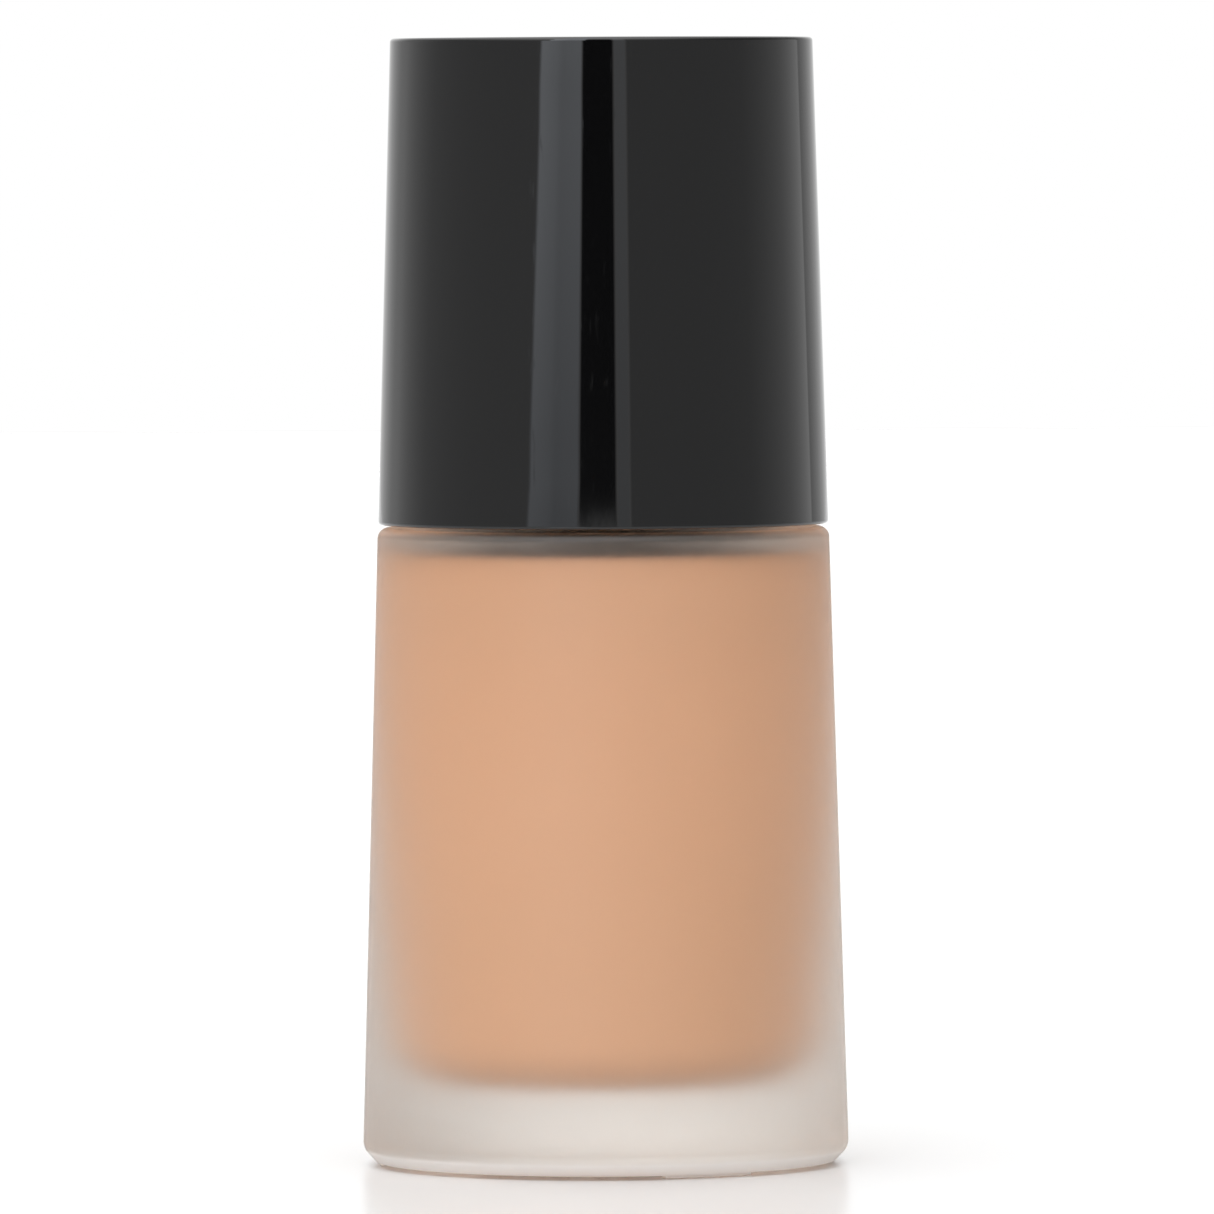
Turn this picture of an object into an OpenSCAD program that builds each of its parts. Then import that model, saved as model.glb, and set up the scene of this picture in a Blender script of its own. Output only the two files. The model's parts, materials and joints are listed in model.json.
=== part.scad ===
// Foundation bottle: a heavy frosted glass bottle with a screw-on treatment pump and a tall gloss overcap.
// Millimetres, +Z up. The origin is at the middle of the base, on the plane that the bottle stands on.
// The front of the bottle faces -Y.

/* [Bottle] */
// Height of the glass shoulder above the base
bottle_h = 59.4; // [57:0.2:62]
// Outer radius of the glass just above the heel
base_r = 22.66; // [22.2:0.02:23.6]
// Outer radius of the glass just below the shoulder
shoulder_r = 21.08; // [20.8:0.01:21.8]
// Radius of the cavity just above its floor
cavity_base_r = 14; // [13.6:0.1:16]
// Radius of the cavity at its ceiling
cavity_top_r = 17.4; // [14:0.1:17.5]
// Thickness of the glass under the cavity
floor_t = 7.5; // [6:0.5:11]
// Air between the foundation and the cavity's ceiling
headspace = 0.6; // [0.3:0.1:3]

/* [Neck] */
// Height of the neck above the shoulder
neck_h = 12; // [11:0.2:13]
// Radius of the neck between its threads
neck_r = 8.85; // [8.7:0.05:9]
// Radius over the threads
thread_r = 9.85; // [9.7:0.05:9.95]
// Radius of the bore through the neck
neck_bore_r = 6.25; // [6.2:0.01:6.4]
// Rise of the thread in one turn
pitch = 3.175; // [2.6:0.005:3.4]
// Length of the thread in turns
thread_turns = 1.6; // [1.2:0.1:1.8]

/* [Pump] */
// Travel of the pump head
stroke = 4.5; // [3:0.1:4.5]
// Outer radius of the pump's barrel
barrel_r = 5; // [4.9:0.05:5.2]
// Inner radius of the pump's barrel
barrel_bore_r = 4.1; // [4:0.05:4.2]
// Outer radius of the dip tube
tube_r = 1.5; // [1.3:0.05:1.6]
// Gap between the cut end of the dip tube and the cavity's floor
tube_gap = 2; // [1:0.25:4]
// Radius of the inlet ball
inlet_ball_r = 1.5; // [1.4:0.05:1.55]
// Radius of the outlet ball
outlet_ball_r = 1.3; // [1.2:0.05:1.4]

/* [Pump head] */
// Outer radius of the button
button_r = 8.75; // [8:0.05:9.5]
// Height of the button
button_h = 12.2; // [11:0.1:13]
// Distance from the axis to the tip of the nozzle
nozzle_reach = 11.8; // [10:0.1:13]

/* [Collar] */
// Outer radius of the collar
collar_r = 14; // [13.8:0.05:14.2]
// Number of grip ribs on the screw closure
closure_ribs = 24; // [12:1:36]

/* [Overcap] */
// Outer radius of the overcap at its rim
cap_rim_r = 21; // [20.6:0.05:21.5]
// Outer radius of the overcap at its top
cap_top_r = 19.7; // [19:0.05:20.6]
// Height of the overcap
cap_h = 45.3; // [44:0.1:48]
// Thickness of the overcap's wall
cap_wall = 1.3; // [1:0.1:1.6]
// Number of ribs between the overcap and its liner
liner_ribs = 8; // [4:1:12]

/* [Hidden] */
$fn = 96;

// Colours
glass_colour = [0.90, 0.88, 0.86, 0.5];
foundation_colour = [0.84, 0.65, 0.52];
clear_plastic = [0.93, 0.93, 0.92];
white_plastic = [0.95, 0.95, 0.94];
black_plastic = [0.03, 0.03, 0.03];
steel_colour = [0.75, 0.75, 0.76];

// Clearances
fit_gap = 0.05;
loose_gap = 0.15;
cut = 1;

// Glass
heel_r = 1.6;
heel_top = 2.1;
pad_h = 0.25;
pad_inset = 0.15;
pad_bury = 0.3;
pad_w_angle = 24;
pad_first_angle = 27;
pad_count = 3;
bearing_in_r = base_r - 2.9;
heel_edge_r = base_r - 1.15;
punt_z = 0.8;
punt_r = bearing_in_r - 1;
label_t = 0.2;
label_gap = 0.02;
label_r = 12;
shoulder_fillet = 1;
neck_fillet = 0.8;
lip_fillet = 0.5;
neck_top = bottle_h + neck_h;
thread_start = bottle_h + 2.8;
thread_steps = 36;
thread_fade = 6;
thread_end = 0.4;
thread_bury = 0.3;
thread_root_w = 1.5;
thread_crest_w = 0.7;
cavity_corner = 4.2;
ceiling_corner = 0.8;
ceiling_z = bottle_h - 2;
ceiling_rise = 1;
fill_top = ceiling_z - headspace;

// Pump module
gasket_t = 0.8;
flange_t = 1.2;
flange_r = 9.2;
flange_z = neck_top + gasket_t;
flange_top = flange_z + flange_t;
plug_r = neck_bore_r - 0.25;
plug_h = 5.5;
guide_seat_r = 5;
guide_seat_z = flange_top - 5.5;
barrel_floor = flange_top - 21.65;
stop_t = 0.5;
stop_r = 1.3;
chamber_r = 1.9;
inlet_r = 0.9;
seat_top = barrel_floor - 2.35;
seat_h = chamber_r - inlet_r;
socket_top = seat_top - seat_h - 1.5;
socket_l = 5.5;
spigot_r = 2.5;
barrel_cone_top = barrel_floor - 0.95;
barrel_cone_h = 2.8;
spigot_end = socket_top - socket_l;
tube_bore_r = 0.9;
tube_cut_angle = 40;
tube_cut_size = 10;
tube_end = floor_t + tube_gap;
ball_gap = 0.03;
inlet_ball_z = seat_top - seat_h + (inlet_ball_r * cos(45) - inlet_r) + inlet_ball_r * sin(45) + ball_gap;

// Moving parts of the pump
stem_r = 2.4;
stem_neck_r = 1.9;
stem_bore_r = 1.1;
guide_bore_r = stem_r + 0.1;
guide_disc_r = 6.5;
guide_disc_h = 1.8;
guide_boss_r = 4.6;
guide_h = 3.8;
piston_h = 4.5;
piston_top = guide_seat_z;
piston_z = piston_top - piston_h;
piston_r = barrel_bore_r - fit_gap;
piston_waist_r = 3.4;
piston_foot_r = 3;
lip_h = 1;
lip_taper = 0.8;
lip_groove = 0.6;
lip_edge = 0.1;
lost_motion = 0.6;
stem_step_z = piston_top + lost_motion + fit_gap;
stem_top = flange_top + 13.5;
plug_head_r = 2.9;
plug_head_h = 1.75;
plug_top = piston_z - fit_gap;
plug_pin_l = 4;
plug_slot_w = 0.9;
port_r = 0.4;
outlet_seat_z = stem_top - 2.9;
outlet_chamber_r = 1.6;
outlet_ball_z = outlet_seat_z + sqrt(pow(outlet_ball_r, 2) - pow(stem_bore_r, 2)) + ball_gap;
spring_wire_r = 0.275;
spring_r = 2.6;
spring_turns = 7;
spring_steps = 14;
spring_sides = 6;
spring_foot = barrel_floor + fit_gap;
spring_head = plug_top - plug_head_h - fit_gap;

// Pump head
button_z = flange_top + 7.4;
button_top = button_z + button_h;
button_wall = 1;
button_roof = 1.3;
button_edge = 1.2;
button_foot_edge = 0.2;
dish_depth = 0.5;
dish_r = 6.4;
core_z = flange_top + 8.5;
core_r = 4.2;
core_top = button_top - button_roof;
spout_z = stem_top + 1.5;
spout_r = 2.2;
spout_bore_r = 0.9;
nozzle_r = 1.5;
nozzle_l = 2.2;
nozzle_orifice_r = 0.35;
nozzle_face_t = 0.7;
web_t = 1;

// Closure and collar
closure_z = bottle_h + 0.7;
closure_root_r = thread_r + 0.4;
closure_thread_w = 1.2;
closure_tip_w = 0.6;
closure_crest_r = neck_r + 0.3;
closure_r = 11.6;
closure_rib_w = 0.8;
rib_bury = 0.3;
closure_deck_z = flange_top + 0.02;
closure_top = flange_top + 1.6;
closure_hole_r = guide_disc_r + 0.25;
collar_z = bottle_h + 0.5;
collar_wall = 1.1;
collar_bore_r = collar_r - collar_wall;
closure_rib_r = collar_bore_r - 0.1;
collar_deck = 1;
collar_top = closure_top + collar_deck;
collar_edge = 0.6;
collar_hole_r = closure_hole_r + 0.25;

// Overcap
cap_z = bottle_h + 0.3;
cap_rim_edge = 0.3;
cap_top_edge = 0.35;
cap_roof = 1.5;
cap_top = cap_z + cap_h;
liner_r = collar_r + 0.2;
liner_wall = 1;
liner_ceiling = cap_top - 4.5;
liner_roof = 1;
liner_foot = cap_z + 0.6;
liner_flange_t = 1.2;
liner_rib_w = 1;
snap_ribs = 3;
snap_rib_h = 9;
snap_rib_w = 1.6;

// Points of an arc about [x, z] from angle a to angle b.
function arc(x, z, r, a, b, steps = 8) =
    [for (i = [0:steps]) let (t = a + (b - a) * i / steps) [x + r * cos(t), z + r * sin(t)]];

// A point of a radial section, given as [radius, height], carried to an angle and a height.
function carried(p, angle, z) = [p[0] * cos(angle), p[0] * sin(angle), z + p[1]];

// A ring's worth of pipe between two heights.
module pipe(outer_r, inner_r, z, h) {
    translate([0, 0, z])
        difference() {
            cylinder(r = outer_r, h = h);
            translate([0, 0, -cut]) cylinder(r = inner_r, h = h + 2 * cut);
        }
}

// A round bar between two heights.
module bar(r, z, h) {
    translate([0, 0, z]) cylinder(r = r, h = h);
}

// A closed solid through a list of rings with the same number of points each.
module swept(rings) {
    n = len(rings[0]);
    last = len(rings) - 1;
    sides = [for (i = [0:last - 1]) for (j = [0:n - 1])
        let (a = i * n, b = a + n, k = (j + 1) % n)
        each [[a + j, a + k, b + k], [a + j, b + k, b + j]]];
    start_cap = [for (j = [n - 1:-1:0]) j];
    end_cap = [for (j = [0:n - 1]) last * n + j];
    polyhedron([for (ring = rings) each ring], concat(sides, [start_cap, end_cap]));
}

// A screw thread that grows from a low blunt end at both ends. Its sections run counter-clockwise.
module helix_thread(root_r, crest_r, root_w, crest_w, turns, start_z) {
    steps = round(turns * thread_steps);
    outward = crest_r > root_r ? 1 : -1;
    buried_r = root_r - outward * thread_bury;
    swept([for (i = [0:steps])
        let (share = min(1, thread_end + i / thread_fade, thread_end + (steps - i) / thread_fade),
             tip_r = root_r + (crest_r - root_r) * share,
             z = start_z + pitch * i / thread_steps)
        [for (p = [[buried_r, -root_w / 2], [tip_r, -crest_w / 2],
                   [tip_r, crest_w / 2], [buried_r, root_w / 2]])
            carried([p[0], outward * p[1]], 360 * i / thread_steps, z)]]);
}

// The space inside the glass, shrunk by a gap.
module cavity(gap) {
    r0 = cavity_base_r - gap;
    r1 = cavity_top_r - gap;
    rotate_extrude()
        polygon(concat(
            [[0, floor_t + gap]],
            arc(r0 - cavity_corner, floor_t + gap + cavity_corner, cavity_corner, -90, 0, 12),
            arc(r1 - ceiling_corner, ceiling_z - gap - ceiling_corner, ceiling_corner, 0, 80),
            [[neck_bore_r - gap, ceiling_z + ceiling_rise - gap]],
            [[neck_bore_r - gap, neck_top + cut]],
            [[0, neck_top + cut]]
        ));
}

// The glass outside the cavity, without its threads and pads.
module glass_body() {
    rotate_extrude()
        polygon(concat(
            [[0, punt_z]],
            [[punt_r, punt_z]],
            [[bearing_in_r, pad_h]],
            [[heel_edge_r, pad_h]],
            arc(base_r - heel_r, heel_top, heel_r, -45, 0),
            arc(shoulder_r - shoulder_fillet, bottle_h - shoulder_fillet, shoulder_fillet, 0, 90),
            arc(neck_r + neck_fillet, bottle_h + neck_fillet, neck_fillet, 270, 180),
            arc(neck_r - lip_fillet, neck_top - lip_fillet, lip_fillet, 0, 90),
            [[0, neck_top]]
        ));
}

// Low pads under the bearing ring, which carry the bottle.
module bearing_pads() {
    for (i = [0:pad_count - 1])
        rotate([0, 0, pad_first_angle - 90 - pad_w_angle / 2 + 360 * i / pad_count])
            rotate_extrude(angle = pad_w_angle)
                polygon([
                    [bearing_in_r + pad_inset, 0],
                    [heel_edge_r - 2 * pad_inset, 0],
                    [heel_edge_r - pad_inset, pad_h + pad_bury],
                    [bearing_in_r + pad_inset, pad_h + pad_bury]
                ]);
}

module glass_bottle() {
    color(glass_colour)
        difference() {
            union() {
                glass_body();
                bearing_pads();
                helix_thread(neck_r, thread_r, thread_root_w, thread_crest_w, thread_turns, thread_start);
            }
            cavity(0);
        }
}

// The room that the pump and its dip tube take up in the foundation.
module pump_room() {
    barrel_room_z = barrel_cone_top - barrel_cone_h - loose_gap;
    bar(barrel_r + loose_gap, barrel_room_z, neck_top - barrel_room_z);
    bar(spigot_r + loose_gap, spigot_end - loose_gap, barrel_cone_top - spigot_end);
    bar(tube_r + loose_gap, tube_end - 2 * loose_gap, spigot_end - tube_end + 2);
}

module foundation_fill() {
    color(foundation_colour)
        difference() {
            intersection() {
                cavity(fit_gap / 2);
                bar(base_r, 0, fill_top);
            }
            pump_room();
        }
}

module base_label() {
    color(clear_plastic)
        bar(label_r, punt_z - label_gap - label_t, label_t);
}

module pump_housing() {
    color(clear_plastic)
        difference() {
            union() {
                bar(flange_r, flange_z, flange_t);
                bar(plug_r, flange_z - plug_h, plug_h + flange_t);
                bar(barrel_r, barrel_cone_top, flange_z - barrel_cone_top);
                translate([0, 0, barrel_cone_top - barrel_cone_h])
                    cylinder(r1 = spigot_r + 0.5, r2 = barrel_r, h = barrel_cone_h);
                bar(spigot_r, spigot_end, barrel_cone_top - spigot_end);
            }
            bar(guide_seat_r, guide_seat_z, flange_top - guide_seat_z + cut);
            bar(barrel_bore_r, barrel_floor, flange_top - barrel_floor);
            bar(stop_r, barrel_floor - stop_t - 0.1, stop_t + 0.2);
            bar(chamber_r, seat_top, barrel_floor - stop_t - seat_top);
            translate([0, 0, seat_top - seat_h])
                cylinder(r1 = inlet_r, r2 = chamber_r, h = seat_h);
            bar(inlet_r, socket_top - cut, seat_top - seat_h - socket_top + 1.1 * cut);
            bar(tube_r + fit_gap / 2, spigot_end - cut, socket_l + cut);
        }
}

module neck_gasket() {
    color(white_plastic)
        pipe(flange_r - 0.1, neck_bore_r + 0.1, neck_top, gasket_t);
}

module housing_cap() {
    color(white_plastic)
        difference() {
            union() {
                bar(guide_seat_r - fit_gap / 2, guide_seat_z + 0.1, flange_top - guide_seat_z);
                bar(guide_disc_r, flange_top, guide_disc_h);
                bar(guide_boss_r, flange_top, guide_h);
            }
            bar(guide_bore_r, guide_seat_z - cut, flange_top + guide_h - guide_seat_z + 2 * cut);
        }
}

module dip_tube() {
    color(clear_plastic)
        difference() {
            pipe(tube_r, tube_bore_r, tube_end, socket_top - tube_end);
            translate([-tube_r, 0, tube_end])
                rotate([0, -tube_cut_angle, 0])
                    translate([-tube_cut_size / 2, -tube_cut_size / 2, -tube_cut_size])
                        cube([2 * tube_cut_size, tube_cut_size, tube_cut_size]);
        }
}

module inlet_ball() {
    color(steel_colour)
        translate([0, 0, inlet_ball_z]) sphere(r = inlet_ball_r);
}

module pump_stem() {
    color(white_plastic)
        difference() {
            union() {
                bar(stem_neck_r, plug_top, stem_step_z - plug_top + 0.1);
                bar(stem_r, stem_step_z, stem_top - stem_step_z);
            }
            bar(stem_bore_r, plug_top - cut, stem_top - plug_top);
            translate([0, 0, outlet_seat_z])
                cylinder(r1 = stem_bore_r, r2 = outlet_chamber_r, h = outlet_chamber_r - stem_bore_r);
            bar(outlet_chamber_r, outlet_seat_z + outlet_chamber_r - stem_bore_r, stem_top - outlet_seat_z);
            translate([0, 0, plug_top + port_r + fit_gap])
                rotate([0, 90, 0]) cylinder(r = port_r, h = 3 * stem_r, center = true);
        }
}

module stem_plug() {
    color(white_plastic)
        union() {
            bar(plug_head_r, plug_top - plug_head_h, plug_head_h);
            difference() {
                bar(stem_bore_r - fit_gap / 2, plug_top - 0.1, plug_pin_l);
                translate([-stem_r, -plug_slot_w / 2, plug_top])
                    cube([2 * stem_r, plug_slot_w, plug_pin_l]);
            }
        }
}

// Coils lie close at both ends of the spring and open out between them.
function spring_height(turn) =
    let (dead = 2.2 * spring_wire_r,
         low = spring_foot + spring_wire_r,
         high = spring_head - spring_wire_r,
         live = (high - low - 2 * dead) / (spring_turns - 2))
    turn < 1 ? low + dead * turn
    : turn > spring_turns - 1 ? high - dead * (spring_turns - turn)
    : low + dead + live * (turn - 1);

module return_spring() {
    color(steel_colour)
        swept([for (i = [0:spring_turns * spring_steps])
            let (turn = i / spring_steps)
            [for (j = [0:spring_sides - 1])
                let (b = 360 * j / spring_sides)
                carried([spring_r + spring_wire_r * cos(b), spring_wire_r * sin(b)],
                        360 * turn, spring_height(turn))]]);
}

module outlet_ball() {
    color(steel_colour)
        translate([0, 0, outlet_ball_z]) sphere(r = outlet_ball_r);
}

module pump_piston() {
    color(clear_plastic)
        rotate_extrude()
            polygon([
                [stem_neck_r + fit_gap, piston_z],
                [piston_foot_r, piston_z],
                [piston_waist_r, piston_z + lip_groove],
                [piston_r, piston_z + lip_edge],
                [piston_r, piston_z + lip_h],
                [piston_waist_r, piston_z + lip_h + lip_taper],
                [piston_waist_r, piston_top - lip_h - lip_taper],
                [piston_r, piston_top - lip_h],
                [piston_r, piston_top - lip_edge],
                [piston_waist_r, piston_top - lip_groove],
                [piston_foot_r, piston_top],
                [stem_neck_r + fit_gap, piston_top]
            ]);
}

module actuator_button() {
    color(black_plastic)
        difference() {
            rotate_extrude()
                polygon(concat(
                    [[button_r - button_wall, button_z]],
                    arc(button_r - button_foot_edge, button_z + button_foot_edge,
                        button_foot_edge, -90, 0, 4),
                    arc(button_r - button_edge, button_top - button_edge, button_edge, 0, 90),
                    [for (i = [0:8]) let (x = dish_r * (1 - i / 8))
                        [x, button_top - dish_depth * (1 - pow(x / dish_r, 2))]],
                    [[0, core_top]],
                    [[button_r - button_wall, core_top]]
                ));
            translate([0, 0, spout_z])
                rotate([90, 0, 0]) cylinder(r = spout_r + fit_gap, h = button_r + cut);
        }
}

module actuator_core() {
    color(black_plastic)
        difference() {
            union() {
                bar(core_r, core_z, core_top - core_z);
                bar(button_r - button_wall - fit_gap, core_top - web_t, web_t);
                translate([0, 0, spout_z])
                    rotate([90, 0, 0]) cylinder(r = spout_r, h = nozzle_reach);
            }
            bar(stem_r + fit_gap, core_z - cut, stem_top + fit_gap - core_z + cut);
            bar(spout_bore_r, stem_top - cut, spout_z - stem_top + cut);
            translate([0, 0, spout_z]) {
                sphere(r = spout_bore_r);
                rotate([90, 0, 0]) cylinder(r = spout_bore_r, h = nozzle_reach);
                translate([0, -nozzle_reach + nozzle_l, 0])
                    rotate([90, 0, 0]) cylinder(r = nozzle_r, h = nozzle_l + cut);
            }
        }
}

module nozzle_insert() {
    color(black_plastic)
        translate([0, -nozzle_reach + nozzle_l, spout_z])
            rotate([90, 0, 0])
                difference() {
                    cylinder(r = nozzle_r - fit_gap / 2, h = nozzle_l);
                    translate([0, 0, -cut]) cylinder(r = spout_bore_r, h = nozzle_l - nozzle_face_t + cut);
                    cylinder(r = nozzle_orifice_r, h = nozzle_l + cut);
                }
}

module screw_closure() {
    color(black_plastic)
        union() {
            pipe(closure_r, closure_root_r, closure_z, closure_top - closure_z);
            pipe(closure_r, closure_hole_r, closure_deck_z, closure_top - closure_deck_z);
            for (i = [0:closure_ribs - 1])
                rotate([0, 0, 360 * i / closure_ribs])
                    translate([closure_r - rib_bury, -closure_rib_w / 2, closure_z])
                        cube([closure_rib_r - closure_r + rib_bury, closure_rib_w, closure_top - closure_z]);
            helix_thread(closure_root_r, closure_crest_r, closure_thread_w, closure_tip_w,
                         thread_turns, thread_start - pitch / 2);
        }
}

module collar() {
    color(black_plastic)
        difference() {
            rotate_extrude()
                polygon(concat(
                    [[0, collar_z]],
                    [[collar_r, collar_z]],
                    arc(collar_r - collar_edge, collar_top - collar_edge, collar_edge, 0, 90),
                    [[0, collar_top]]
                ));
            bar(collar_bore_r, collar_z - cut, closure_top - collar_z + cut);
            bar(collar_hole_r, collar_z, collar_top - collar_z + cut);
        }
}

module overcap_shell() {
    color(black_plastic)
        rotate_extrude()
            polygon(concat(
                [[cap_rim_r - cap_wall, cap_z]],
                arc(cap_rim_r - cap_rim_edge, cap_z + cap_rim_edge, cap_rim_edge, -90, 0),
                arc(cap_top_r - cap_top_edge, cap_top - cap_top_edge, cap_top_edge, 0, 90),
                [[0, cap_top]],
                [[0, cap_top - cap_roof]],
                [[cap_top_r - cap_wall, cap_top - cap_roof]]
            ));
}

// The space inside the overcap's shell, shrunk by a small gap.
module shell_room() {
    translate([0, 0, cap_z])
        cylinder(r1 = cap_rim_r - cap_wall - fit_gap,
                 r2 = cap_top_r - cap_wall - fit_gap,
                 h = cap_h - cap_roof);
}

module overcap_liner() {
    color(black_plastic)
        union() {
            pipe(liner_r + liner_wall, liner_r, liner_foot, liner_ceiling - liner_foot + 0.1);
            bar(liner_r + liner_wall, liner_ceiling, liner_roof);
            intersection() {
                union() {
                    pipe(cap_rim_r, liner_r + 0.5, liner_foot, liner_flange_t);
                    difference() {
                        for (i = [0:liner_ribs - 1])
                            rotate([0, 0, 360 * (i + 0.5) / liner_ribs])
                                translate([0, -liner_rib_w / 2, liner_foot])
                                    cube([cap_rim_r, liner_rib_w, liner_ceiling - liner_foot]);
                        bar(liner_r + 0.5, liner_foot - cut, liner_ceiling - liner_foot + 2 * cut);
                    }
                }
                shell_room();
            }
            for (i = [0:snap_ribs - 1])
                rotate([0, 0, 360 * i / snap_ribs])
                    difference() {
                        translate([0, -snap_rib_w / 2, liner_foot])
                            cube([liner_r + 0.2, snap_rib_w, snap_rib_h]);
                        bar(collar_r + fit_gap, liner_foot - cut, snap_rib_h + 2 * cut);
                    }
        }
}

glass_bottle();
foundation_fill();
base_label();
pump_housing();
neck_gasket();
housing_cap();
dip_tube();
inlet_ball();
pump_stem();
stem_plug();
return_spring();
outlet_ball();
pump_piston();
actuator_button();
actuator_core();
nozzle_insert();
screw_closure();
collar();
overcap_shell();
overcap_liner();
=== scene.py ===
"""Foundation bottle: a frosted glass bottle with a pump under a tall black overcap, on a white sweep.

Metres, +Z up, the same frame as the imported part. The front of the bottle faces -Y.
"""

import json
import math

import bpy
from mathutils import Matrix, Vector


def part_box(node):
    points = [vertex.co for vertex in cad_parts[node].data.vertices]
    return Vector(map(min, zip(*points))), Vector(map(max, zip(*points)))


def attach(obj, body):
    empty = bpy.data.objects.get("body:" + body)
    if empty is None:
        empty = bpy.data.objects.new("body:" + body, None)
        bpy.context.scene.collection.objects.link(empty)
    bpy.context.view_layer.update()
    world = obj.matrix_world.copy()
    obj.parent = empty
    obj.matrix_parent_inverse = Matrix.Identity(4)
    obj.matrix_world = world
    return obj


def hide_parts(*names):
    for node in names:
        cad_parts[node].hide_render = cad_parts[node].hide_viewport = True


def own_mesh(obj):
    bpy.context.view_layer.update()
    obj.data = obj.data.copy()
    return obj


MM = 0.001

# Sizes of the part that the frame doesn't give.
FLOOR_Z = 7.5 * MM  # the floor of the cavity
CEILING_Z = 57.4 * MM  # the ceiling of the cavity, at its edge
CAVITY_BASE_R = 14 * MM
CAVITY_TOP_R = 17.4 * MM
CAVITY_CORNER = 4.2 * MM
CEILING_CORNER = 0.8 * MM
BARREL_ROOM_R = 5.15 * MM  # the room for the pump's barrel in the liquid
BARREL_ROOM_Z = 47.85 * MM
SOCKET_ROOM_R = 2.65 * MM  # the room for the dip tube's socket
SOCKET_ROOM_Z = 41.2 * MM
TUBE_ROOM_R = 1.65 * MM  # the room for the dip tube
TUBE_ROOM_RISE = 1.9 * MM  # from the cavity's floor to the room's lower end
SPRING_LOW_Z = 51.8 * MM
SPRING_HIGH_Z = 61.55 * MM
SPRING_R = 2.6 * MM
WIRE_R = 0.275 * MM

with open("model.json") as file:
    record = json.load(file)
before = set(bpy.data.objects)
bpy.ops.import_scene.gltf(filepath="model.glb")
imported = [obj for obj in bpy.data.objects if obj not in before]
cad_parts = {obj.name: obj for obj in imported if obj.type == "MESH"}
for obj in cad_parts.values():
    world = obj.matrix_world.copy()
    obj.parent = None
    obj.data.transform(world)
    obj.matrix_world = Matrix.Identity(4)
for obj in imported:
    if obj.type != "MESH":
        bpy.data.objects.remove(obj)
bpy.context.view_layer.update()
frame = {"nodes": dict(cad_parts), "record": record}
CAD = frame["nodes"]
scene = bpy.context.scene


# ---------------------------------------------------------------- shader helpers


def feed(tree, socket, value):
    """Links a socket to another socket, or sets it to a plain value."""
    if isinstance(value, bpy.types.NodeSocket):
        tree.links.new(value, socket)
    else:
        socket.default_value = value


def add(tree, kind, inputs=(), **settings):
    """A node of that kind, with its settings and its inputs by name or number."""
    made = tree.nodes.new(kind)
    for name, value in settings.items():
        setattr(made, name, value)
    for name, value in dict(inputs).items():
        feed(tree, made.inputs[name], value)
    return made


def calc(tree, operation, *values):
    """The result of a math node."""
    made = add(tree, "ShaderNodeMath", operation=operation)
    for socket, value in zip(made.inputs, values):
        feed(tree, socket, value)
    return made.outputs[0]


def remap(tree, value, from_low, from_high, to_low, to_high, smooth=False):
    """value carried from one range to another, and held at its ends."""
    made = add(
        tree,
        "ShaderNodeMapRange",
        {
            "Value": value,
            "From Min": from_low,
            "From Max": from_high,
            "To Min": to_low,
            "To Max": to_high,
        },
        interpolation_type="SMOOTHSTEP" if smooth else "LINEAR",
    )
    return made.outputs["Result"]


def mix_value(tree, share, a, b):
    """a where the share is 0, b where it is 1."""
    made = add(tree, "ShaderNodeMix", data_type="FLOAT")
    feed(tree, made.inputs[0], share)
    feed(tree, made.inputs[2], a)
    feed(tree, made.inputs[3], b)
    return made.outputs[0]


def mix_colour(tree, share, a, b):
    """Colour a where the share is 0, b where it is 1."""
    made = add(tree, "ShaderNodeMix", data_type="RGBA")
    feed(tree, made.inputs[0], share)
    feed(tree, made.inputs[6], a)
    feed(tree, made.inputs[7], b)
    return made.outputs[2]


def grey(value):
    """An opaque grey."""
    return (value, value, value, 1)


def material(name):
    """A new material with an empty node tree but for its output."""
    made = bpy.data.materials.new(name)
    made.use_nodes = True
    made.node_tree.nodes.clear()
    out = add(made.node_tree, "ShaderNodeOutputMaterial")
    return made, made.node_tree, out


def principled(tree, out, **sockets):
    """The material's shader. Each socket is named with underscores for its spaces."""
    values = {name.replace("_", " "): value for name, value in sockets.items()}
    shader = add(tree, "ShaderNodeBsdfPrincipled", values)
    feed(tree, out.inputs["Surface"], shader.outputs[0])


def place(tree):
    """Where the shaded point is, in the part's frame."""
    return add(tree, "ShaderNodeTexCoord").outputs["Object"]


def noise(tree, at, scale, detail=2.0):
    """Cloudy values round a half."""
    made = add(tree, "ShaderNodeTexNoise", {"Vector": at, "Scale": scale, "Detail": detail})
    return made.outputs[0]


def uneven(tree, at, scale, detail, low, high):
    """A value that wanders between two others. Most of the noise lies between 0.3 and 0.7."""
    return remap(tree, noise(tree, at, scale, detail), 0.3, 0.7, low, high)


def bump(tree, height, distance):
    """Normals raised by a height."""
    made = add(tree, "ShaderNodeBump", {"Height": height, "Distance": distance, "Strength": 1.0})
    return made.outputs["Normal"]


# ---------------------------------------------------------------- materials


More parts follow.
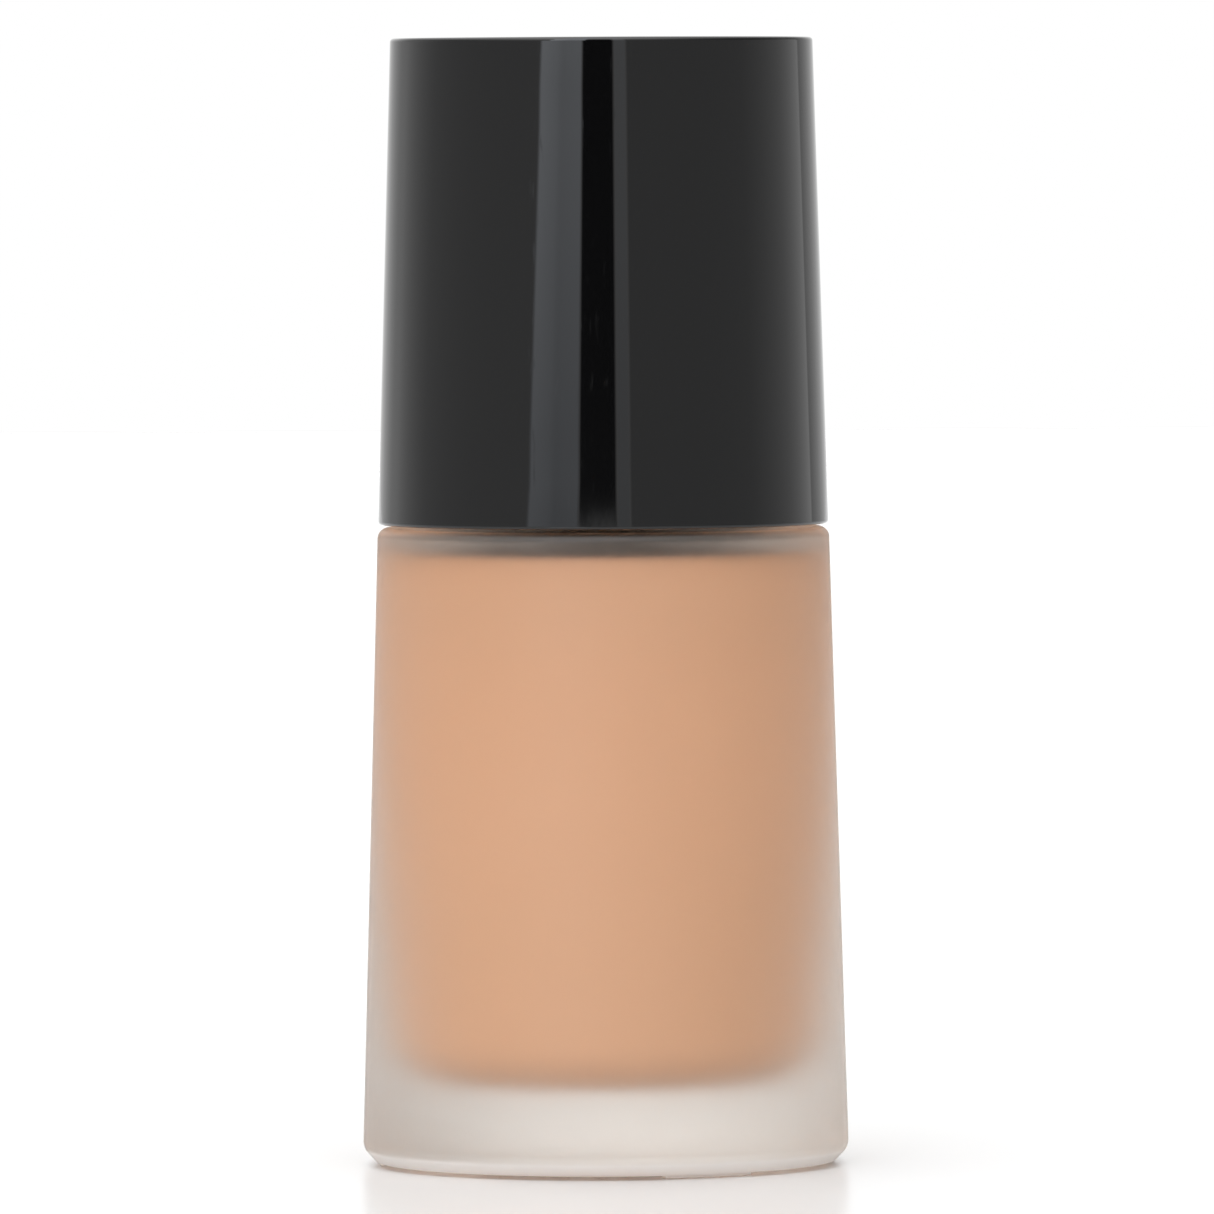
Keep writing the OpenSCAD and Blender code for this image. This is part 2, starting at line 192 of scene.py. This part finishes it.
PLASTIC_IOR = 1.5
GLASS_IOR = 1.5
GLASS_TINT = (0.835, 0.797, 0.748, 1)
# painted shade: the browner, darker colour of the glass above the liquid, for the shade under the cap
SHOULDER_PAINTED_SHADE = (0.81, 0.71, 0.62, 1)
LIP_PAINTED_LIGHT = (0.96, 0.95, 0.93, 1)  # the slanted edge of the heel, paler than the glass: painted light for the bright band there
ETCHED_ROUGHNESS = (0.47, 0.52)
UNDERSIDE_ROUGHNESS = 0.34
LIP_ROUGHNESS = 0.8
INNER_ROUGHNESS = 0.02
LIP_SCATTER = 0.5  # the share of the light that scatters at the slanted edge
CAVITY_WITHIN_R = 19 * MM
CAVITY_LOW_Z = 6.5 * MM
CAVITY_HIGH_Z = 58.9 * MM
HEEL_LOW_Z = 1.25 * MM  # the look of the heel is full below this height
HEEL_HIGH_Z = 1.6 * MM  # and gone above this one
UNDERSIDE_R = 20.85 * MM  # low down, the glass is the underside within this and the lip outside it
SHOULDER_LOW_Z = 56.6 * MM
SHOULDER_HIGH_Z = 57.6 * MM
LIQUID_COLOURS = ((0.88, 0.525, 0.325, 1), (0.89, 0.535, 0.335, 1))
GLOSS_BLACK = (0.0016, 0.0016, 0.0018, 1)
UPRIGHT = (1.0, 1.0, 0.12)  # draws a pattern out along the bottle's axis


def plastic(name, colour, roughness, grain, grain_depth):
    """A moulded plastic: an even colour, with a fine grain in its surface and uneven gloss."""
    made, tree, out = material(name)
    at = place(tree)
    principled(
        tree,
        out,
        Base_Color=(*colour, 1),
        Roughness=uneven(tree, at, 180.0, 3.0, roughness * 0.85, roughness * 1.15),
        IOR=PLASTIC_IOR,
        Normal=bump(tree, noise(tree, at, grain), grain_depth),
    )
    return made


def frosted_glass():
    """Clear glass, acid-frosted on its outside and smooth inside the cavity."""
    made, tree, out = material("frosted_glass")
    at = place(tree)
    x, y, z = add(tree, "ShaderNodeSeparateXYZ", {"Vector": at}).outputs
    squares = calc(tree, "ADD", calc(tree, "MULTIPLY", x, x), calc(tree, "MULTIPLY", y, y))
    radius = calc(tree, "SQRT", squares)
    # the only glass surface within this radius and between these heights is the cavity's
    above = calc(tree, "GREATER_THAN", z, CAVITY_LOW_Z)
    below = calc(tree, "LESS_THAN", z, CAVITY_HIGH_Z)
    within_z = calc(tree, "MULTIPLY", above, below)
    inside = calc(tree, "MULTIPLY", calc(tree, "LESS_THAN", radius, CAVITY_WITHIN_R), within_z)
    etched = uneven(tree, at, 900.0, 4.0, *ETCHED_ROUGHNESS)
    # the underside is etched less than the sides, and the slanted edge of the heel scatters most
    low = remap(tree, z, HEEL_LOW_Z, HEEL_HIGH_Z, 1.0, 0.0)
    under = calc(tree, "LESS_THAN", radius, UNDERSIDE_R)
    heel = mix_value(tree, under, LIP_ROUGHNESS, UNDERSIDE_ROUGHNESS)
    outer = mix_value(tree, low, etched, heel)
    lip = calc(tree, "MULTIPLY", low, calc(tree, "SUBTRACT", 1.0, under))
    # painted shade, a look only: the glass above the liquid is browner and darker, for the dark band
    # of shade under the cap
    shoulder_shade = remap(tree, z, SHOULDER_LOW_Z, SHOULDER_HIGH_Z, 0.0, 1.0)
    tint = mix_colour(tree, shoulder_shade, GLASS_TINT, SHOULDER_PAINTED_SHADE)
    principled(
        tree,
        out,
        # the lip's paler colour is painted light; its larger share of scattered light is the finish
        Base_Color=mix_colour(tree, lip, tint, LIP_PAINTED_LIGHT),
        Roughness=mix_value(tree, inside, outer, INNER_ROUGHNESS),
        IOR=GLASS_IOR,
        Transmission_Weight=calc(tree, "MULTIPLY_ADD", lip, -LIP_SCATTER, 1.0),
    )
    return made


def foundation():
    """The opaque liquid. Where it wets the glass it has no gloss of its own."""
    made, tree, out = material("foundation")
    cloud = remap(tree, noise(tree, place(tree), 60.0), 0.35, 0.65, 0.0, 1.0)
    colour = mix_colour(tree, cloud, *LIQUID_COLOURS)
    shader = add(tree, "ShaderNodeBsdfDiffuse", {"Color": colour})
    feed(tree, out.inputs["Surface"], shader.outputs[0])
    return made


def gloss_black():
    """High-gloss black plastic, with faint upright marks of handling."""
    made, tree, out = material("black_gloss")
    stretch = add(tree, "ShaderNodeMapping", {"Vector": place(tree), "Scale": UPRIGHT})
    marks = noise(tree, stretch.outputs[0], 2600.0)
    principled(
        tree,
        out,
        Base_Color=GLOSS_BLACK,
        Roughness=remap(tree, marks, 0.62, 0.8, 0.03, 0.12),
        IOR=PLASTIC_IOR,
    )
    return made


def steel():
    """Bright steel of the spring and the balls."""
    made, tree, out = material("steel")
    principled(
        tree,
        out,
        Base_Color=(0.62, 0.62, 0.63, 1),
        Metallic=1.0,
        Roughness=uneven(tree, place(tree), 1500.0, 3.0, 0.14, 0.24),
    )
    return made


def clear_film():
    """A blank label of clear film."""
    made, tree, out = material("label")
    principled(
        tree,
        out,
        Base_Color=(0.97, 0.97, 0.965, 1),
        Roughness=uneven(tree, place(tree), 700.0, 3.0, 0.12, 0.2),
        IOR=PLASTIC_IOR,
        Transmission_Weight=1.0,
    )
    return made


FINE_GRAIN = 0.004 * MM  # how deep a moulded surface's grain is
LOOKS = {
    "frosted_glass": frosted_glass(),
    "foundation": foundation(),
    "black_gloss": gloss_black(),
    "black_satin": plastic("black_satin", (0.012, 0.012, 0.013), 0.4, 2500.0, FINE_GRAIN),
    "white_plastic": plastic("white_plastic", (0.82, 0.82, 0.8), 0.35, 1800.0, FINE_GRAIN),
    "natural_plastic": plastic("natural_plastic", (0.85, 0.85, 0.82), 0.3, 1500.0, FINE_GRAIN),
    "gasket": plastic("gasket", (0.72, 0.72, 0.7), 0.6, 2500.0, 2 * FINE_GRAIN),
    "steel": steel(),
    "label": clear_film(),
}
for part in frame["record"]["subparts"]:
    data = CAD[part["node"]].data
    data.materials.clear()
    data.materials.append(LOOKS[part["material_slot"]])


# ---------------------------------------------------------------- built pieces


def mesh_piece(name, points, faces, slot, body, *stands_for):
    """A smooth mesh that rides on a body and stands for CAD nodes."""
    data = bpy.data.meshes.new(name)
    data.from_pydata(points, [], faces)
    data.materials.append(LOOKS[slot])
    data.shade_smooth()
    made = bpy.data.objects.new(name, data)
    scene.collection.objects.link(made)
    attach(made, body)
    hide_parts(*stands_for)
    return made


def quads(rings, around, closed):
    """The faces between rings of points, the last of which joins the first where closed."""
    return [
        (
            i * around + j,
            (i + 1) % rings * around + j,
            (i + 1) % rings * around + (j + 1) % around,
            i * around + (j + 1) % around,
        )
        for i in range(rings if closed else rings - 1)
        for j in range(around)
    ]


def lathe(outline, sides):
    """Points and faces of a closed outline of (radius, height), turned about the axis."""
    turn = 2 * math.pi / sides
    points = [
        (r * math.cos(turn * i), r * math.sin(turn * i), z) for i in range(sides) for r, z in outline
    ]
    return points, quads(sides, len(outline), closed=True)


def arc(x, z, r, start, end, steps):
    """Points of an arc, with its angles in degrees."""
    angles = [math.radians(start + (end - start) * i / steps) for i in range(steps + 1)]
    return [(x + r * math.cos(a), z + r * math.sin(a)) for a in angles]


def liquid():
    """The foundation, wetting the glass all round, with a meniscus at the glass and at the barrel."""
    wet = 0.08 * MM  # the liquid reaches this far into the glass, so that no face of the two meets
    axis_r = 0.02 * MM  # the outline stops short of the axis
    floor_z = FLOOR_Z - wet
    tube_z = floor_z + TUBE_ROOM_RISE
    base_r = CAVITY_BASE_R + wet
    top_r = CAVITY_TOP_R + wet
    corner_z = CEILING_Z + wet - CEILING_CORNER
    top_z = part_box("foundation_fill")[1].z
    climb = 0.25 * MM  # how far the meniscus climbs the glass
    barrel_climb = climb * 0.7
    glass_reach = 1.2 * MM
    barrel_reach = 1.0 * MM
    # the liquid's rim is where the meniscus meets the rounded corner of the ceiling
    rim_angle = math.asin((top_z + climb - corner_z) / CEILING_CORNER)
    rim_r = top_r - CEILING_CORNER * (1 - math.cos(rim_angle))
    at_glass = [
        (rim_r - s * glass_reach, top_z + climb * (1 - s) ** 3) for s in (0.15, 0.3, 0.5, 0.75, 1.0)
    ]
    at_barrel = [
        (BARREL_ROOM_R + s * barrel_reach, top_z + barrel_climb * (1 - s) ** 3)
        for s in (1.0, 0.6, 0.3, 0.1, 0.0)
    ]
    outline = (
        [(TUBE_ROOM_R, tube_z), (axis_r, tube_z), (axis_r, floor_z)]
        + arc(base_r - CAVITY_CORNER, floor_z + CAVITY_CORNER, CAVITY_CORNER, -90, 0, 16)
        + arc(top_r - CEILING_CORNER, corner_z, CEILING_CORNER, 0, math.degrees(rim_angle), 8)
        + at_glass
        + at_barrel
        + [(BARREL_ROOM_R, BARREL_ROOM_Z), (SOCKET_ROOM_R, BARREL_ROOM_Z)]
        + [(SOCKET_ROOM_R, SOCKET_ROOM_Z), (TUBE_ROOM_R, SOCKET_ROOM_Z)]
    )
    points, faces = lathe(outline, 160)
    return mesh_piece("foundation_liquid", points, faces, "foundation", "bottle", "foundation_fill")


def spring():
    """The return spring in round wire, with closed coils at both ends."""
    turns = 7
    per_turn = 48
    around = 14
    dead = 2.2 * WIRE_R  # the rise of a closed coil
    foot = SPRING_LOW_Z + WIRE_R
    head = SPRING_HIGH_Z - WIRE_R
    live = (head - foot - 2 * dead) / (turns - 2)

    def height(turn):
        """How high the middle of the wire is after so many turns."""
        if turn < 1:
            return foot + dead * turn
        if turn > turns - 1:
            return head - dead * (turns - turn)
        return foot + dead + live * (turn - 1)

    rings = turns * per_turn + 1
    points = []
    for i in range(rings):
        turn = i / per_turn
        a = 2 * math.pi * turn
        for j in range(around):
            b = 2 * math.pi * j / around
            r = SPRING_R + WIRE_R * math.cos(b)
            points.append((r * math.cos(a), r * math.sin(a), height(turn) + WIRE_R * math.sin(b)))
    last = (rings - 1) * around
    ends = [tuple(range(around)), tuple(last + j for j in range(around))[::-1]]
    faces = quads(rings, around, closed=False) + ends
    made = mesh_piece("return_spring_wire", points, faces, "steel", "pump", "return_spring")
    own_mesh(made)
    return made


liquid()
spring()


# ---------------------------------------------------------------- studio

# What stands round the bottle, fitted to the bands that its overcap and its glass show.
# It runs from the back by the left, the front and the right to the back again. Each element says
# where it starts and ends, in degrees from straight ahead, and its brightness at both ends.
ROUND = [
    (-180, -134, 1.0, 0.72),  # white sweep behind, left half
    (-134, -126, 0.72, 0.82),  # where the sweep meets the tent
    (-126, -98, 0.82, 0.62),  # left wall of the tent, its far part
    (-98, -32.6, 0.60, 0.63),  # left wall, its near part
    (-32.6, -22.5, 2.54, 2.03),  # left softbox, outer half
    (-22.5, -10, 1.84, 1.97),  # left softbox, inner half
    (-10, 6.74, 0.035, 0.035),  # black surround of the camera
    (6.74, 13.3, 1.1, 1.1),  # narrow strip light on the right
    (13.3, 82, 0.56, 0.54),  # right wall of the tent, its near part
    (82, 112, 0.54, 0.74),  # right wall, its far part
    (112, 134, 0.74, 1.0),  # where the tent meets the sweep
    (134, 160, 0.56, 0.84),  # white sweep behind, right half
    (160, 180, 0.84, 1.0),
]
EDGE = 0.15  # degrees by which each element stops short, so that its edge isn't a perfect step
SAME_PLACE = 0.5  # degrees within which two stops can stand for one another
SAME_LEVEL = 0.021  # if their brightness is no further apart than this
RAMP_SCALE = 0.25  # keeps the brightest element within the colour ramp
DARK = 0.3  # only the black surround is darker than this
PALE = 0.8  # the brightness of what crosses the black surround
OVERHEAD = 2.8  # the brightness overhead
COOL = (0.96, 1.0, 1.06, 1)  # the colour of the two lights

# These are all in degrees above the horizon.
TABLE_EDGE = 1.618  # the black surround starts here
BAR = (1.652, 1.672)  # the thin pale bar that crosses it
LEAN_BAND = (1.3, 5.3)
LIGHT_FOOT = (1.5, 3.8)  # the two lights are dimmer here
HIGH_BAND = (6.0, 14.0)  # the differences between the sides come in here
OVERHEAD_BAND = (20.0, 60.0)

LEAN = 4.0  # degrees, at either end of the lean's band
LEFT_LEAN = (-35.5, 1.6)  # at this many degrees round, this many times the lean
RIGHT_LEAN = (8.0, -0.2)
FOOT_LEVEL = 0.56  # how bright the foot of a light is, against its top
LENGTHWAYS = 0.58  # how much more comes from the front and the back, and less from the sides
FRONT = 0.37  # how much more comes from the front, and less from the back
LEFT = 0.34  # how much more comes from the left, and less from the right


def ramp_stops():
    """Where the brightness round the bottle is stated, with stops that say the same left out."""
    stops = []
    for start, end, low, high in ROUND:
        for at, value in ((start + EDGE, low), (end - EDGE, high)):
            if stops and at - stops[-1][0] < SAME_PLACE and abs(value - stops[-1][1]) < SAME_LEVEL:
                continue
            stops.append((at, value))
    return stops


def ring_of_lights(tree, degrees_up, degrees_round):
    """How bright the elements near the horizon are in a direction."""
    # the tops of the lights lean towards each other, the left one's the most
    lean = remap(tree, degrees_up, *LEAN_BAND, LEAN, -LEAN)
    share = remap(tree, degrees_round, LEFT_LEAN[0], RIGHT_LEAN[0], LEFT_LEAN[1], RIGHT_LEAN[1])
    leaning = calc(tree, "MULTIPLY_ADD", lean, share, degrees_round)
    turn = remap(tree, leaning, -180.0, 180.0, 0.0, 1.0)
    ramp = add(tree, "ShaderNodeValToRGB", {"Fac": turn})
    colours = ramp.color_ramp
    colours.interpolation = "LINEAR"
    stops = ramp_stops()
    while len(colours.elements) < len(stops):
        colours.elements.new(0.5)
    for element, (at, value) in zip(colours.elements, stops):
        element.position = (at + 180) / 360
        element.color = grey(value * RAMP_SCALE)
    ring = calc(tree, "MULTIPLY", ramp.outputs["Color"], 1 / RAMP_SCALE)
    # the black surround stops above the table, and a thin pale bar crosses it
    table_side = calc(tree, "LESS_THAN", degrees_up, TABLE_EDGE)
    above = calc(tree, "GREATER_THAN", degrees_up, BAR[0])
    below = calc(tree, "LESS_THAN", degrees_up, BAR[1])
    bar = calc(tree, "MULTIPLY", above, below)
    pale = calc(tree, "MULTIPLY", calc(tree, "ADD", table_side, bar), PALE)
    crossing = calc(tree, "MULTIPLY", pale, calc(tree, "LESS_THAN", ring, DARK))
    return calc(tree, "MAXIMUM", ring, crossing)


def studio():
    """A white tent with two lights in its front and more light from overhead."""
    world = bpy.data.worlds.new("studio")
    scene.world = world
    world.use_nodes = True
    tree = world.node_tree
    tree.nodes.clear()
    out = add(tree, "ShaderNodeOutputWorld")
    way = add(tree, "ShaderNodeTexCoord").outputs["Generated"]
    x, y, z = add(tree, "ShaderNodeSeparateXYZ", {"Vector": way}).outputs
    to_degrees = 180 / math.pi
    up = calc(tree, "ARCSINE", calc(tree, "MINIMUM", calc(tree, "MAXIMUM", z, -1.0), 1.0))
    degrees_up = calc(tree, "MULTIPLY", up, to_degrees)
    bearing = calc(tree, "ARCTAN2", x, calc(tree, "MULTIPLY", y, -1.0))
    degrees_round = calc(tree, "MULTIPLY", bearing, to_degrees)
    ring = ring_of_lights(tree, degrees_up, degrees_round)
    # the two lights are dimmer towards their lower ends
    is_light = remap(tree, ring, 1.0, 1.2, 0.0, 1.0)
    fade = remap(tree, degrees_up, *LIGHT_FOOT, FOOT_LEVEL, 1.0)
    faded = calc(tree, "MULTIPLY", ring, mix_value(tree, is_light, 1.0, fade))
    overhead = remap(tree, degrees_up, *OVERHEAD_BAND, 0.0, 1.0, smooth=True)
    # above the lights the front is brightest, then the back, then the left, and the right is darkest
    across = calc(tree, "SUBTRACT", calc(tree, "MULTIPLY", y, y), calc(tree, "MULTIPLY", x, x))
    lengthways = calc(tree, "MULTIPLY_ADD", across, LENGTHWAYS, 1.0)
    from_front = calc(tree, "MULTIPLY_ADD", y, -FRONT, lengthways)
    sideways = calc(tree, "MULTIPLY_ADD", x, -LEFT, from_front)
    high = mix_value(tree, remap(tree, degrees_up, *HIGH_BAND, 0.0, 1.0), 1.0, sideways)
    level = calc(tree, "MULTIPLY", mix_value(tree, overhead, faded, OVERHEAD), high)
    tint = mix_colour(tree, is_light, grey(1.0), COOL)
    light = add(tree, "ShaderNodeBackground", {"Color": tint, "Strength": level})
    white = add(tree, "ShaderNodeBackground", {"Color": grey(1.0), "Strength": 1.0})
    seen = add(tree, "ShaderNodeLightPath").outputs["Is Camera Ray"]
    both = add(tree, "ShaderNodeMixShader", {0: seen, 1: light.outputs[0], 2: white.outputs[0]})
    feed(tree, out.inputs["Surface"], both.outputs[0])


def floor():
    """The white surface that the bottle stands on."""
    half = 3.0
    corners = [(-half, -half, 0), (half, -half, 0), (half, half, 0), (-half, half, 0)]
    data = bpy.data.meshes.new("table")
    data.from_pydata(corners, [], [(0, 1, 2, 3)])
    made, tree, out = material("white_table")
    principled(tree, out, Base_Color=grey(0.57), Roughness=0.25, IOR=1.4)
    data.materials.append(made)
    table = bpy.data.objects.new("table", data)
    table.location.z = -0.1 * MM
    scene.collection.objects.link(table)


def camera():
    """A long lens, looking slightly down at the bottle's front."""
    lens = bpy.data.cameras.new("camera")
    lens.lens = 413
    lens.sensor_width = 36
    lens.clip_end = 20
    eye = bpy.data.objects.new("camera", lens)
    scene.collection.objects.link(eye)
    distance = 1.30
    tilt = math.radians(2.03)
    roll = math.radians(-0.25)
    aim_x = 0.31 * MM
    aim_z = 51.9 * MM
    eye.location = (aim_x, -distance * math.cos(tilt), aim_z + distance * math.sin(tilt))
    eye.rotation_mode = "XYZ"
    turned = Matrix.Rotation(math.pi / 2 - tilt, 4, "X") @ Matrix.Rotation(roll, 4, "Z")
    eye.rotation_euler = turned.to_euler()
    scene.camera = eye


studio()
floor()
camera()
scene.view_settings.view_transform = "Standard"
scene.view_settings.look = "None"
